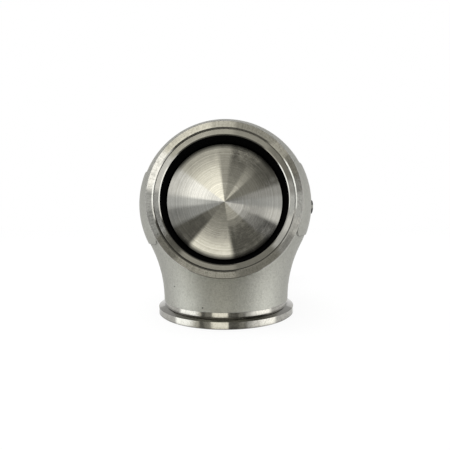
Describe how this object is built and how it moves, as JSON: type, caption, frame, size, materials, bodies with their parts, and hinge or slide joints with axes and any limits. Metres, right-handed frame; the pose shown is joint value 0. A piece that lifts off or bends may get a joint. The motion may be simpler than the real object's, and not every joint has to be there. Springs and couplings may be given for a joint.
{
  "type": "exhaust elbow valve",
  "caption": "Cast exhaust elbow with clamp-flange inlet and outlet, a poppet valve in the inlet and a spring-loaded diaphragm actuator behind it.",
  "frame": {"origin": "centre of the outlet flange's face, on the outlet bore's axis", "axes": "-Z out of the outlet, -Y out of the inlet, +Y towards the actuator, +X to the side of the hose fittings"},
  "size_m": [0.12, 0.1774, 0.1155],
  "materials": {
    "cast_stainless": "bead-blasted casting with turned flanges",
    "turned_stainless": "turned, fine concentric tool marks",
    "bronze": "machined bronze",
    "seal_rubber": "matte rubber",
    "zinc_steel": "zinc plated",
    "graphite_gasket": "graphite sheet",
    "machined_aluminium": "machined and clear anodised",
    "black_steel": "black oxide",
    "spring_steel": "drawn spring wire",
    "brass": "machined brass",
    "copper": "soft copper"
  },
  "bodies": {
    "housing": {"valve_body": "cast_stainless", "seat_ring": "turned_stainless", "valve_guide": "bronze", "stem_seal": "seal_rubber", "seal_retainer": "zinc_steel", "base_gasket": "graphite_gasket", "actuator_base": "machined_aluminium", "base_screws": "black_steel", "diaphragm": "seal_rubber", "outer_spring": "spring_steel", "inner_spring": "spring_steel", "spring_seat": "zinc_steel", "actuator_cap": "machined_aluminium", "cap_screws": "black_steel", "base_hose_barb": "brass", "cap_hose_barb": "brass", "base_port_plug": "black_steel", "cap_port_plug": "black_steel", "port_washers": "copper", "body_port_plug": "black_steel", "body_plug_washer": "copper"},
    "valve_train": {"valve": "turned_stainless", "lower_piston": "machined_aluminium", "upper_piston": "machined_aluminium", "piston_washer": "zinc_steel", "stem_nut": "zinc_steel"}
  },
  "joints": [
    {"name": "valve_lift", "type": "slide", "parent": "housing", "child": "valve_train", "axis": [0, 1, 0], "range_m": [0, 0.014], "stiffness_N_per_m": 6000, "springref_m": -0.006, "deforming": ["outer_spring", "inner_spring", "diaphragm"]}
  ]
}
